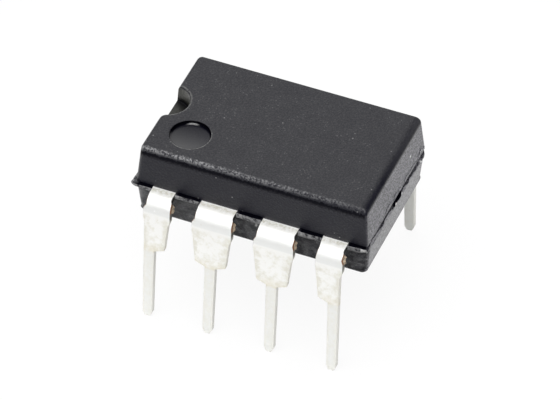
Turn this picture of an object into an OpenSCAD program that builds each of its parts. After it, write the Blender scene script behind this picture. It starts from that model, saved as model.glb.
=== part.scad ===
// Eight lead plastic dual in-line package chip, in millimetres.
// X runs along the body from the notch end, Y towards the back row, Z up from the lead tips.
// A stamped lead frame carries the die, wires join the die to the leads, and epoxy is moulded
// round them all, so every piece inside is seated face to face in the moulding.

/* [Body] */
// Length of the moulded body at the parting line
body_l = 9.56; // [9.2:0.02:10.4]
// Width of the moulded body at the parting line
body_w = 6.14; // [5.9:0.02:6.6]
// Height of the upper half, from the top of the leads to the top face
upper_h = 1.7; // [1.5:0.02:2.2]
// Height of the lower half, from the top of the leads down to the underside
lower_h = 1.58; // [1.3:0.02:2]
// Draft angle of the upper half's long walls
side_draft = 7; // [3:0.5:12]
// Draft angle of the upper half's end walls
end_draft = 4.6; // [3:0.2:12]
// Draft angle of the lower half's walls
lower_draft = 5; // [3:0.5:12]
// Rounding of the edges round the top face
top_edge_r = 0.22; // [0.1:0.02:0.4]
// Rounding of the edges round the underside
bottom_edge_r = 0.14; // [0.1:0.02:0.4]
// Rounding of the four upright corners at the parting line
corner_r = 0.22; // [0.2:0.02:0.5]

/* [Flash ledge] */
// How far the ledge between the leads stands out of the long walls
ledge_side = 0.15; // [0.08:0.01:0.2]
// How far the ledge stands out of the end wall with the notch
ledge_left = 0.13; // [0.02:0.01:0.2]
// How far the ledge stands out of the other end wall
ledge_right = 0.03; // [0.02:0.01:0.2]

/* [Notch and marks] */
// Radius of the half-round notch in the end
notch_r = 0.86; // [0.6:0.02:1]
// How far the notch's centre lies outside the top face's end
notch_out = 0.08; // [0:0.02:0.2]
// Depth of the notch below the top face
notch_depth = 0.8; // [0.5:0.05:1.1]
// Rounding of the notch's rim
notch_rim_r = 0.08; // [0.04:0.02:0.14]
// Width across the round mark beside lead 1
dimple_d = 1.6; // [1.2:0.05:1.8]
// Depth of the round mark
dimple_depth = 0.2; // [0.1:0.02:0.3]
// Distance of the mark's centre from the notch end, at the parting line
dimple_from_end = 1.65; // [1.6:0.05:2.2]
// Distance of the mark's centre from the front wall, at the parting line
dimple_from_side = 1.54; // [1.4:0.02:1.8]
// Width across the two ejector pin marks in the underside
ejector_d = 1.5; // [1:0.1:2]
// Depth of the ejector pin marks
ejector_depth = 0.08; // [0.05:0.01:0.15]
// Distance between the two ejector pin marks
ejector_gap = 5.2; // [4:0.1:6]

/* [Leads] */
// Distance between neighbouring leads of a row
pitch = 2.54; // [2.5:0.01:2.6]
// Thickness of the lead frame sheet
lead_t = 0.25; // [0.2:0.01:0.3]
// Distance from the body's long wall to where the bend starts
bend_start = 0.31; // [0.25:0.01:0.5]
// Inside radius of the bend
bend_r = 0.3; // [0.15:0.01:0.4]
// Angle by which the front row splays outwards from upright
splay = 3.6; // [0:0.2:8]
// Angle by which the back row splays outwards from upright
back_splay = 5.2; // [0:0.2:8]
// Half width of the shoulder where it leaves the body
shoulder_half = 0.745; // [0.65:0.005:0.76]
// How much the shoulder narrows on each side before the bend
shoulder_neck = 0.01; // [0:0.005:0.08]
// Half width across the sheared stubs of the dam bar
stub_half = 0.785; // [0.765:0.005:0.85]
// Length of the dam bar stubs below the bend
stub_l = 0.3; // [0.1:0.02:0.5]
// Half width of the shoulder at its lower end
shoulder_foot_half = 0.63; // [0.5:0.01:0.7]
// Length of the shoulder below the bend
shoulder_l = 1.77; // [1.4:0.01:2]
// Length over which the shoulder steps in to the leg
step_l = 0.15; // [0.05:0.01:0.3]
// Length of the front row's legs, which go into the board
leg_l = 3.36; // [2.9:0.02:3.8]
// Width of the leg at its upper end
leg_w = 0.44; // [0.36:0.01:0.5]
// How much narrower the leg is above its tip
leg_taper = 0.04; // [0:0.01:0.08]
// Length of the pointed tip
tip_l = 0.2; // [0.1:0.02:0.4]
// Width of the blunt end of the tip
tip_w = 0.22; // [0.1:0.02:0.3]
// Sideways set of the tips of leads 1 to 4, as they were bent in handling
tip_set = [-0.03, -0.05, -0.01, 0.04]; // [-0.1:0.01:0.1]

/* [Lead frame inside] */
// Width of the inner fingers of the leads
finger_w = 0.8; // [0.6:0.05:1]
// Gap in the sheet between the fingers, the die pad and the tie bars
frame_gap = 0.28; // [0.2:0.02:0.4]
// Length of the wide root of each finger inside the body
root_l = 0.55; // [0.5:0.05:0.8]
// Diameter of the hole in each root through which the epoxy locks
lock_d = 0.36; // [0.24:0.02:0.44]
// Length of the die pad
pad_l = 3.3; // [2.8:0.1:3.6]
// Width of the die pad
pad_w = 2.2; // [1.9:0.05:2.4]
// How far the die pad is pressed down below the leads
pad_drop = 0.2; // [0.1:0.02:0.4]
// Width of the tie bars that held the pad until they were cut
tie_w = 0.72; // [0.4:0.02:0.9]

/* [Die and wires] */
// Length of the silicon die
die_l = 1.7; // [1.2:0.1:2.2]
// Width of the silicon die
die_w = 1.4; // [1:0.1:1.6]
// Thickness of the silicon die
die_t = 0.3; // [0.2:0.02:0.4]
// Thickness of the glue under the die
glue_t = 0.04; // [0.03:0.01:0.06]
// How far the glue spreads past the die's edges
glue_rim = 0.08; // [0.03:0.01:0.12]
// Thickness of the bond wires
wire_d = 0.05; // [0.03:0.01:0.06]
// Width of the bonds at both ends of a wire
bond_d = 0.11; // [0.09:0.01:0.14]
// Height of the bonds
bond_h = 0.03; // [0.02:0.005:0.05]
// Height of a wire's loop above the die
loop_h = 0.24; // [0.15:0.01:0.4]
// Distance of the bonds from the edges of the die
bond_inset = 0.13; // [0.1:0.01:0.2]

/* [Hidden] */

$fn = 48;
hull_fn = 32;
leads_per_row = 4;
wire_sides = 6;
wire_steps = 10;
over = 1;

// The plate below the bend leans by the splay, and its lowest corner stands at z = 0
bend_z = (shoulder_l + step_l + leg_l) * cos(splay) - bend_r * sin(splay);
lead_bottom_z = bend_z + bend_r;
parting_z = lead_bottom_z + lead_t;
top_z = parting_z + upper_h;
bottom_z = parting_z - lower_h;
bend_y = body_w / 2 + bend_start;
neck_half = shoulder_half - shoulder_neck;

// Die stack, from the pressed pad upwards
pad_top_z = parting_z - pad_drop;
glue_top_z = pad_top_z + glue_t;
die_top_z = glue_top_z + die_t;

// Colours as in the photograph
epoxy = [0.24, 0.24, 0.25];
tin = [0.86, 0.86, 0.83];
copper = [0.72, 0.5, 0.34];
glue_grey = [0.66, 0.66, 0.62];
silicon = [0.34, 0.36, 0.44];
gold = [0.86, 0.68, 0.3];

// Sign of the X side of a lead, counted 0 to 3 from the notch end
function x_side(place) = place < leads_per_row / 2 ? -1 : 1;

// Distance of a lead from the middle of the row
function x_out(place) = abs(place - (leads_per_row - 1) / 2) * pitch;

// True for the leads at the two ends of a row
function at_corner(place) = place == 0 || place == leads_per_row - 1;

// Length of the plate below the bend with which a lead of the given splay reaches z = 0
function plate_length(lean) = (bend_z + bend_r * sin(lean)) / cos(lean);

// Ends of the fingers, one sheet gap away from the pad, its tie bars and each other
inner_tip_y = pad_w / 2 + frame_gap;
corner_tip_x = max(pad_l / 2, x_out(1) + finger_w / 2) + frame_gap;
corner_tip_y = tie_w / 2 + frame_gap;

// Quarter arc of a rounded edge in the rotate_extrude plane, filled towards the axis
module edge_profile(rim_r, edge_r) {
    translate([rim_r - edge_r, 0]) intersection() {
        circle(r = edge_r);
        square(edge_r);
    }
}

// Puts its children at the four corners of a rectangle, each set in by inset
module at_corners(length, width, inset) {
    for (sx = [-1, 1], sy = [-1, 1])
        translate([sx * (length / 2 - inset), sy * (width / 2 - inset), 0]) children();
}

// Half of the moulding, standing on z = 0, with draft and a rounded rim at its far end
module moulded_half(height, long_draft, short_draft, edge_r) {
    far_l = body_l - 2 * (height - edge_r) * tan(short_draft);
    far_w = body_w - 2 * (height - edge_r) * tan(long_draft);
    far_r = max(corner_r, edge_r);
    hull() {
        at_corners(body_l, body_w, corner_r) cylinder(h = 0.01, r = corner_r, $fn = hull_fn);
        translate([0, 0, height - edge_r]) at_corners(far_l, far_w, far_r)
            rotate_extrude($fn = hull_fn) edge_profile(far_r, edge_r);
    }
}

// Flash ledge left by the mould round the dam bars, as thick as the lead frame
module flash_ledge() {
    ledge_l = body_l + ledge_left + ledge_right;
    ledge_w = body_w + 2 * ledge_side;
    translate([(ledge_right - ledge_left) / 2, 0, lead_bottom_z]) linear_extrude(lead_t)
        union() {
            square([ledge_l - 2 * corner_r, ledge_w], center = true);
            square([ledge_l, ledge_w - 2 * corner_r], center = true);
            at_corners(ledge_l, ledge_w, corner_r) circle(r = corner_r);
        }
}

// Cutter of the half-round notch, with a rounded rim at the top face
module notch_cutter() {
    rim = [for (a = [0:15:90])
        [notch_r + notch_rim_r * (1 - cos(a)), notch_depth - notch_rim_r * (1 - sin(a))]];
    notch_x = -body_l / 2 + upper_h * tan(end_draft) - notch_out;
    translate([notch_x, 0, top_z - notch_depth]) rotate_extrude()
        polygon(concat([[0, 0], [notch_r, 0]], rim,
                       [[notch_r + notch_rim_r, notch_depth + over], [0, notch_depth + over]]));
}

// Cutter of the shallow round mark beside lead 1
module dimple_cutter() {
    translate([-body_l / 2 + dimple_from_end, -body_w / 2 + dimple_from_side, top_z - dimple_depth])
        cylinder(h = dimple_depth + over, d = dimple_d);
}

// Cutters of the ejector pin marks in the underside
module ejector_cutters() {
    for (sx = [-1, 1])
        translate([sx * ejector_gap / 2, 0, bottom_z - over])
            cylinder(h = ejector_depth + over, d = ejector_d);
}

module moulded_body() {
    color(epoxy) difference() {
        union() {
            translate([0, 0, parting_z])
                moulded_half(upper_h, side_draft, end_draft, top_edge_r);
            translate([0, 0, parting_z]) mirror([0, 0, 1])
                moulded_half(lower_h, lower_draft, lower_draft, bottom_edge_r);
            flash_ledge();
        }
        notch_cutter();
        dimple_cutter();
        ejector_cutters();
        for (n = [1:2 * leads_per_row]) {
            lead(n);
            bond_wire(n);
        }
        die_pad();
        die_attach();
        die();
    }
}

// Outline of a corner lead's flat part, from the bend in to the slanted finger that ends beside
// the short side of the die pad. It is drawn for the front row with the leg's centre at x = 0.
function corner_outline(wall_y, root_y) =
    let (tip_x = x_out(0) - corner_tip_x)
    [[-leg_w / 2, -bend_y], [neck_half, -bend_y], [shoulder_half, -wall_y],
     [shoulder_half, -root_y], [tip_x, -inner_tip_y], [tip_x, -corner_tip_y],
     [tip_x - finger_w, -corner_tip_y], [-leg_w / 2, -root_y]];

// Outline of an inner lead's flat part, whose finger ends beside the long side of the die pad
function inner_outline(wall_y, root_y) =
    [[-neck_half, -bend_y], [neck_half, -bend_y], [shoulder_half, -wall_y],
     [shoulder_half, -root_y], [finger_w / 2, -root_y], [finger_w / 2, -inner_tip_y],
     [-finger_w / 2, -inner_tip_y], [-finger_w / 2, -root_y],
     [-shoulder_half, -root_y], [-shoulder_half, -wall_y]];

// Flat part of a lead, with the hole in its root through which the epoxy locks
module flat_part(place) {
    wall_y = body_w / 2;
    root_y = wall_y - root_l;
    hole_x = at_corner(place) ? (shoulder_half - leg_w / 2) / 2 : 0;
    translate([0, 0, lead_bottom_z]) linear_extrude(lead_t) difference() {
        polygon(at_corner(place) ? corner_outline(wall_y, root_y) : inner_outline(wall_y, root_y));
        translate([hole_x, root_l / 2 - wall_y]) circle(d = lock_d);
    }
}

// Part of the bend between two angles from the flat, with its own half widths
module bend_part(from_angle, to_angle, out_half, in_half) {
    translate([0, -bend_y, bend_z]) rotate([0, 90, 0]) rotate([0, 0, 180 + from_angle])
        rotate_extrude(angle = to_angle - from_angle)
            translate([bend_r, -out_half]) square([lead_t, out_half + in_half]);
}

// Upright plate below the bend: shoulder, step, leg and pointed tip, drawn downwards
module plate_outline(place, plate_l, tip_shift) {
    corner = at_corner(place);
    step_y = shoulder_l + step_l;
    foot_half = (leg_w - leg_taper) / 2;
    out_side = corner ? leg_w / 2 : shoulder_half;
    out_stub = out_side + stub_half - shoulder_half;
    out_edge = corner ? [[-out_side, -stub_l], [-out_stub, -stub_l]]
                      : [[-shoulder_foot_half, -shoulder_l], [-out_stub, -stub_l]];
    tip_start = tip_shift * (leg_l - tip_l) / leg_l;
    polygon(concat([[-out_stub, 0], [stub_half, 0], [stub_half, -stub_l],
                    [shoulder_foot_half, -shoulder_l], [leg_w / 2, -step_y],
                    [tip_start + foot_half, tip_l - plate_l], [tip_shift + tip_w / 2, -plate_l],
                    [tip_shift - tip_w / 2, -plate_l], [tip_start - foot_half, tip_l - plate_l],
                    [-leg_w / 2, -step_y]], out_edge));
}

// One lead, drawn in the front row with its outer side towards -X and leaning by the given splay
module leaning_lead(place, lean, tip_shift) {
    out_side = at_corner(place) ? leg_w / 2 : shoulder_half;
    out_neck = at_corner(place) ? leg_w / 2 : neck_half;
    out_stub = out_side + stub_half - shoulder_half;
    translate([-x_out(place), 0, 0]) {
        flat_part(place);
        bend_part(0, 45, out_neck, neck_half);
        bend_part(45, 90 - lean, out_stub, stub_half);
        translate([0, -bend_y, bend_z]) rotate([90 - lean, 0, 0]) translate([0, 0, bend_r])
            linear_extrude(lead_t) plate_outline(place, plate_length(lean), tip_shift);
    }
}

// Lead n, counted from the notch end along the front and back along the other row
module lead(n) {
    back = n > leads_per_row;
    place = (n - 1) % leads_per_row;
    shift = back ? 0 : tip_set[place];
    side = x_side(place);
    color(tin) rotate([0, 0, back ? 180 : 0]) mirror([side > 0 ? 1 : 0, 0, 0])
        leaning_lead(place, back ? back_splay : splay, -side * shift);
}

// Die pad pressed down below the leads, with the two tie bars that reach the body's ends
module die_pad() {
    slope_start = pad_l / 2;
    slope_end = slope_start + pad_drop;
    color(copper) {
        translate([0, 0, pad_top_z - lead_t / 2]) cube([pad_l, pad_w, lead_t], center = true);
        tie_bar(slope_start, slope_end, body_l / 2 + ledge_right);
        mirror([1, 0, 0]) tie_bar(slope_start, slope_end, body_l / 2 + ledge_left);
    }
}

// Side view of a tie bar that rises from the pad to the level of the leads
module tie_bar(slope_start, slope_end, end_x) {
    drop_z = parting_z - pad_drop;
    rotate([90, 0, 0]) linear_extrude(tie_w, center = true)
        polygon([[slope_start - lead_t, drop_z], [slope_start, drop_z], [slope_end, parting_z],
                 [end_x, parting_z], [end_x, lead_bottom_z], [slope_end + lead_t / 3, lead_bottom_z],
                 [slope_start + lead_t / 3, drop_z - lead_t], [slope_start - lead_t, drop_z - lead_t]]);
}

module die_attach() {
    color(glue_grey) translate([0, 0, pad_top_z + glue_t / 2])
        cube([die_l + 2 * glue_rim, die_w + 2 * glue_rim, glue_t], center = true);
}

module die() {
    color(silicon) translate([0, 0, glue_top_z + die_t / 2]) cube([die_l, die_w, die_t], center = true);
}

// Wire of the front row's lead at the given place, from the die's edge to the finger's end
module front_wire(place) {
    corner = at_corner(place);
    from = corner ? [bond_inset - die_l / 2, -die_w / 4, die_top_z]
                  : [-die_l / 5, bond_inset - die_w / 2, die_top_z];
    to = corner ? [-corner_tip_x - finger_w / 2, -corner_tip_y - bond_inset, parting_z]
                : [-x_out(place), -inner_tip_y - bond_inset, parting_z];
    wire_loop(from, to);
}

// Wire n, which ends on the lead of the same number
module bond_wire(n) {
    place = (n - 1) % leads_per_row;
    color(gold) rotate([0, 0, n > leads_per_row ? 180 : 0]) mirror([x_side(place) > 0 ? 1 : 0, 0, 0])
        front_wire(place);
}

// Wire that rises upright from one bond, loops over and comes down upright on the other.
// Both ends are flat discs, so that they lie on the die and on the finger.
module wire_loop(from, to) {
    span = [to.x - from.x, to.y - from.y];
    along = span / norm(span);
    across = [-along.y, along.x];
    rise = die_top_z + loop_h - max(from.z, to.z);
    steps = [for (i = [0:wire_steps]) i / wire_steps];
    // Centre of the wire at t from 0 to 1, as distance along the span and height
    function centre(t) = [norm(span) * (1 - cos(180 * t)) / 2,
                          from.z + bond_h + (to.z - from.z) * t + rise * sin(180 * t)];
    function heading(t) = [norm(span) * PI / 2 * sin(180 * t), to.z - from.z + rise * PI * cos(180 * t)];
    function ring(point, normal, r) = [for (k = [0:wire_sides - 1])
        let (a = 360 * k / wire_sides,
             d = point.x + r * sin(a) * normal.x,
             s = r * cos(a))
        [from.x + along.x * d + across.x * s, from.y + along.y * d + across.y * s,
         point.y + r * sin(a) * normal.y]];
    rings = concat(
        [ring([0, from.z], [-1, 0], bond_d / 2), ring([0, from.z + bond_h], [-1, 0], bond_d / 2)],
        [for (t = steps)
            let (h = t == 0 ? [0, 1] : t == 1 ? [0, -1] : heading(t) / norm(heading(t)))
            ring(centre(t) + [0, t == 0 || t == 1 ? bond_h / 2 : 0], [-h.y, h.x], wire_d / 2)],
        [ring([norm(span), to.z + bond_h], [1, 0], bond_d / 2), ring([norm(span), to.z], [1, 0], bond_d / 2)]);
    count = len(rings);
    skin = [for (i = [0:count - 2], k = [0:wire_sides - 1])
        [i * wire_sides + k, i * wire_sides + (k + 1) % wire_sides,
         (i + 1) * wire_sides + (k + 1) % wire_sides, (i + 1) * wire_sides + k]];
    polyhedron(points = [for (r = rings) each r],
               faces = concat([[for (k = [wire_sides - 1:-1:0]) k]], skin,
                              [[for (k = [0:wire_sides - 1]) (count - 1) * wire_sides + k]]));
}

moulded_body();
lead(1);  // lead_1
lead(2);  // lead_2
lead(3);  // lead_3
lead(4);  // lead_4
lead(5);  // lead_5
lead(6);  // lead_6
lead(7);  // lead_7
lead(8);  // lead_8
die_pad();
die_attach();
die();
bond_wire(1);  // bond_wire_1
bond_wire(2);  // bond_wire_2
bond_wire(3);  // bond_wire_3
bond_wire(4);  // bond_wire_4
bond_wire(5);  // bond_wire_5
bond_wire(6);  // bond_wire_6
bond_wire(7);  // bond_wire_7
bond_wire(8);  // bond_wire_8
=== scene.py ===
# Eight lead plastic dual in-line package chip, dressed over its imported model.
import bpy
import math
import numpy as np
from mathutils import Matrix, Vector


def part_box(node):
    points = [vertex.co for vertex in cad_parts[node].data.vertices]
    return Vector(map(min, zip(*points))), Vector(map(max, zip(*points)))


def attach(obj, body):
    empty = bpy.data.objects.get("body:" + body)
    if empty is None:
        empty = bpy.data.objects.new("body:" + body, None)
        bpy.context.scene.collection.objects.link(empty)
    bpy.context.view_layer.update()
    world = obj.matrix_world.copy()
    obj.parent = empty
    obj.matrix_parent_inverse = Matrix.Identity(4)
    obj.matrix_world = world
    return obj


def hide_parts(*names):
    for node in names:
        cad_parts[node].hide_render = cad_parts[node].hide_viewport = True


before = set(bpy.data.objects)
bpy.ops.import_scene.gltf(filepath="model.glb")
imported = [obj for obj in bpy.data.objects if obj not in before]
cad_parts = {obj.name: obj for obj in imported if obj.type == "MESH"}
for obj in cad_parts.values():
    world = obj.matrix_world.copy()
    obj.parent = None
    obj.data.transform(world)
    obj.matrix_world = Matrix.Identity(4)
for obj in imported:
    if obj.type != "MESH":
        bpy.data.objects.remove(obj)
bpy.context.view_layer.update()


# Camera, placed as the photograph was taken: a long lens high over the front right corner,
# aimed at a point above the middle of the footprint and rolled by a fraction of a degree.
MM = 0.001
camera_azimuth = math.radians(22.28)
camera_elevation = math.radians(43.38)
camera_roll = math.radians(0.41)
camera_distance = 190.6 * MM
focal_px = 4935.7
frame_px = 560
picture_middle = Vector((280, 200))
aim = Vector((0, 0, 4.0 * MM))
aim_px = Vector((281.06, 197.82)) - picture_middle

back = Vector((math.sin(camera_azimuth) * math.cos(camera_elevation),
               -math.cos(camera_azimuth) * math.cos(camera_elevation), math.sin(camera_elevation)))
level = Vector((math.cos(camera_azimuth), math.sin(camera_azimuth), 0))
right = math.cos(camera_roll) * level + math.sin(camera_roll) * back.cross(level)
up = back.cross(right)
camera_data = bpy.data.cameras.new("camera")
camera_data.sensor_width = 36
camera_data.lens = camera_data.sensor_width * focal_px / frame_px
camera_data.clip_start = 10 * MM
camera_data.clip_end = 10
camera = bpy.data.objects.new("camera", camera_data)
bpy.context.scene.collection.objects.link(camera)
mm_per_px = camera_distance / focal_px
place = aim + back * camera_distance - right * aim_px.x * mm_per_px + up * aim_px.y * mm_per_px
turn = Matrix((right, up, back)).transposed()
camera.matrix_world = Matrix.Translation(place) @ turn.to_4x4()
bpy.context.scene.camera = camera


# Moulded body: black epoxy filled with silica, pressed round the lead frame in a two-part
# mould. Its upper half, lower half and the flash ledge between them are one piece, and pins
# of the mould leave the notch, the pin 1 mark and the two ejector marks underneath.
body_low, body_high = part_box("moulded_body")
top_z = body_high.z
underside_z = body_low.z
parting_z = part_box("lead_1")[1].z
sheet_t = 0.25 * MM
side_ledge = 0.15 * MM
left_ledge = 0.13 * MM
right_ledge = 0.03 * MM
half_l = (body_high.x - body_low.x - left_ledge - right_ledge) / 2
half_w = (body_high.y - body_low.y) / 2 - side_ledge
end_draft = math.tan(math.radians(4.6))
side_draft = math.tan(math.radians(7))
lower_draft = math.tan(math.radians(5))
corner_r = 0.22 * MM
sharp_corner_r = 0.08 * MM
blunt_corner_r = 0.37 * MM
low_corner_r = 0.6 * corner_r
face_corner_r = 0.03 * MM
ledge_corner_r = 0.07 * MM
ledge_tip_r = 0.17 * MM
top_edge_r = 0.22 * MM
top_edge_across = 0.9 * top_edge_r
front_edge = [0.13 * MM, 0.38 * MM]
end_edge = [0.36 * MM, 0.22 * MM]
low_edge_r = 0.2 * MM
low_end_r = 0.14 * MM
face_margins = [0.6 * MM, 0.1 * MM]
pitch = 2.54 * MM

# Groove over the ledge: rise over the parting line in millimetres, and shares in the height and
# in the depth of the dark gap. Ledge, from its top round the rim to its underside: share of its
# width, drop below the parting line in millimetres, and raggedness. The ledge gets thinner
# towards the notch end: place in millimetres, and share of its thickness lost.
groove_profile = [[0.012, 1.0, 0.0], [0.010, 0.9, 1.0], [0.002, 0.2, 1.0]]
ledge_profile = [[0.02, 0.055, 0.1], [0.55, 0.055, 0.3], [0.78, 0.01, 0.8], [0.85, 0.0, 1],
                 [0.97, 0.01, 1], [1, 0.03, 1], [1, 0.1, 0.8], [1, 0.18, 0.7], [0.9, 0.23, 0.8],
                 [0.6, 0.25, 0.5], [0.2, 0.25, 0.2]]
ledge_thinning = [[-4.5, -4.2, -1.2, 0], [0.6, 0.35, 0.25, 0]]

notch_r = 0.86 * MM
notch_x = -half_l + (top_z - parting_z) * end_draft - 0.08 * MM
notch_z = top_z - 0.8 * MM
notch_rim_r = 0.08 * MM
notch_foot_r = 0.07 * MM
mouth_r = 0.35 * MM
mouth_x = notch_x + 0.453 * MM
mouth_lean = math.radians(18)
mark_r = 0.8 * MM
mark_z = top_z - 0.16 * MM
mark_place = [1.65 * MM - half_l, 1.54 * MM - half_w]
mark_rim_r = 0.03 * MM
mark_foot_r = 0.035 * MM
ejector_r = 0.75 * MM
ejector_depth = 0.08 * MM
ejector_x = 2.6 * MM


def smoothed_noise(generator, count, width):
    """Random values round a closed loop of count points: white noise averaged by a Gaussian
    window of the given width in points, then scaled to unit spread."""
    spectrum = np.fft.rfft(generator.standard_normal(count))
    spectrum *= np.exp(-0.5 * (np.arange(spectrum.size) * width * 2 * np.pi / count) ** 2)
    spectrum[0] = 0
    wave = np.fft.irfft(spectrum, count)
    return wave / wave.std()


def loop_directions(long_step, arc_steps):
    """A rounded rectangle as corner share q and outward direction n for each of its points,
    counter-clockwise from above, so that a point is q * (half size - radius) + radius * n.
    Along a side n stays and q runs from corner to corner, and round a corner n turns."""
    q, n = [], []
    corners = np.array([[1, -1], [1, 1], [-1, 1], [-1, -1]])
    sizes = [half_w, half_l, half_w, half_l]
    for k in range(4):
        start, end = corners[k], corners[(k + 1) % 4]
        steps = int(2 * sizes[k] / long_step)
        share = np.linspace(0, 1, steps, endpoint=False)[:, None]
        angle = k * math.pi / 2
        q.append(start * (1 - share) + end * share)
        n.append(np.tile([math.cos(angle), math.sin(angle)], (steps, 1)))
        angles = angle + np.linspace(0, math.pi / 2, arc_steps, endpoint=False)
        q.append(np.tile(end.astype(float), (arc_steps, 1)))
        n.append(np.stack([np.cos(angles), np.sin(angles)], 1))
    return np.concatenate(q), np.concatenate(n)


def closed_skin(name, rings):
    """A closed mesh through rings of equal point count, an array of ring, point and xyz.
    Quads join each ring to the next and one flat face closes each end; where the sum of the
    faces' signed volumes comes out negative, all faces are turned over."""
    count, points = rings.shape[:2]
    i, j = np.meshgrid(np.arange(count - 1), np.arange(points), indexing="ij")
    k = (j + 1) % points
    near, far = i * points, (i + 1) * points
    quads = np.stack([near + j, far + j, far + k, near + k], -1).reshape(-1, 4)
    flat = rings.reshape(-1, 3)
    a, b, c, d = [flat[quads[:, corner]] for corner in range(4)]
    volume = np.einsum("ij,ij->", a, np.cross(b, c)) + np.einsum("ij,ij->", a, np.cross(c, d))
    first = np.arange(points)
    last = first + (count - 1) * points
    for ends, sign in ((first, 1), (last, -1)):
        centre = flat[ends].mean(0)
        volume += sign * np.einsum("j,ij->", centre, np.cross(flat[ends], flat[np.roll(ends, -1)]))
    caps = [first, last[::-1]]
    if volume < 0:
        quads, caps = quads[:, ::-1], [cap[::-1] for cap in caps]
    mesh = bpy.data.meshes.new(name)
    mesh.from_pydata(flat.tolist(), [], quads.tolist() + [cap.tolist() for cap in caps])
    piece = bpy.data.objects.new(name, mesh)
    bpy.context.scene.collection.objects.link(piece)
    return piece


def turned_tool(name, profile, centre):
    """A closed solid of revolution about an upright axis: each row of the profile is radius
    and height, and the rows run from the lower face to the upper one."""
    angles = np.linspace(0, 2 * np.pi, 96, endpoint=False)
    radius, height = np.array(profile).T
    rings = np.stack([centre[0] + radius[:, None] * np.cos(angles),
                      centre[1] + radius[:, None] * np.sin(angles),
                      height[:, None] + 0 * angles], -1)
    return closed_skin(name, rings)


def notch_outline():
    """Plan of the notch as points and outward normals, from the front side round to the back:
    a line in from the end wall, a mouth arc that bulges into the notch and touches the main
    arc, and the main arc, which runs out square at the back."""
    near = math.acos((mouth_x - notch_x) / (notch_r + mouth_r))
    mouth_y = -(notch_r + mouth_r) * math.sin(near)
    bend = np.linspace(math.pi - mouth_lean, math.pi - near, 16)[:-1]
    mouth_out = -np.stack([np.cos(bend), np.sin(bend)], 1)
    mouth = [mouth_x, mouth_y] - mouth_r * mouth_out
    main = np.linspace(-near, math.pi / 2, 76)
    main_out = np.stack([np.cos(main), np.sin(main)], 1)
    arc = notch_r * main_out + [notch_x, 0]
    slope = np.array([-math.sin(bend[0]), math.cos(bend[0])])
    line = mouth[0] + slope * np.array([[1.6], [0.9], [0.3]]) * MM
    points = np.concatenate([line, mouth, arc, [[line[0][0], notch_r]]])
    normals = np.concatenate([np.tile(mouth_out[0], (3, 1)), mouth_out, main_out, [[0, 1]]])
    return points, normals


def notch_cutter():
    """The notch's plan lifted from its floor past the top face, moved along its normals by the
    foot fillet below and by the rim's rounding at the top."""
    points, normals = notch_outline()
    arc = np.radians(np.linspace(0, 90, 7))
    rows = [[-notch_foot_r * (1 - math.sin(a)), notch_z + notch_foot_r * (1 - math.cos(a))]
            for a in arc]
    rows += [[notch_rim_r * (1 - math.cos(a)), top_z - notch_rim_r * (1 - math.sin(a))]
             for a in arc]
    rows += [[notch_rim_r, top_z + 1 * MM]]
    move, height = np.array(rows).T
    flat = points[None] + move[:, None, None] * normals[None]
    return closed_skin("notch_tool", np.concatenate(
        [flat, np.broadcast_to(height[:, None, None], flat.shape[:2] + (1,))], -1))


def mark_cutter():
    """The pin 1 mark turned about its axis, with a foot fillet and a small rim rounding."""
    arc = np.radians(np.linspace(0, 90, 7))
    foot = [[mark_r - mark_foot_r * (1 - math.sin(a)), mark_z + mark_foot_r * (1 - math.cos(a))]
            for a in arc]
    rim = [[mark_r + mark_rim_r * (1 - math.cos(a)), top_z - mark_rim_r * (1 - math.sin(a))]
           for a in arc]
    return turned_tool("mark_tool", [*foot, *rim, [mark_r + mark_rim_r, top_z + 1 * MM]],
                       mark_place)


def shaped(piece, cutters=()):
    """Cuts the tools out of the piece, shades it smooth up to the crease angle with normals
    weighted by face area, bakes the result into its mesh and removes the tools."""
    crease = math.radians(35)
    for cutter in cutters:
        cut = piece.modifiers.new("cut", "BOOLEAN")
        cut.operation = "DIFFERENCE"
        cut.solver = "EXACT"
        cut.object = cutter
    bake_modifiers(piece)
    piece.data.shade_smooth()
    piece.data.set_sharp_from_angle(angle=crease)
    weighted = piece.modifiers.new("normals", "WEIGHTED_NORMAL")
    weighted.weight = 80
    weighted.keep_sharp = True
    bake_modifiers(piece)
    for cutter in cutters:
        bpy.data.objects.remove(cutter)


def bake_modifiers(piece):
    """Puts the evaluated shape into the piece's own mesh and clears its modifiers."""
    graph = bpy.context.evaluated_depsgraph_get()
    mesh = bpy.data.meshes.new_from_object(piece.evaluated_get(graph), depsgraph=graph)
    old = piece.data
    piece.modifiers.clear()
    piece.data = mesh
    mesh.name = piece.name
    bpy.data.meshes.remove(old)


def edge_inset(below, across, down):
    """How far an edge rounded as a quarter ellipse stands back at a depth below the top face."""
    return across * (1 - math.sqrt(1 - (1 - min(below / down, 1)) ** 2))


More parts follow.
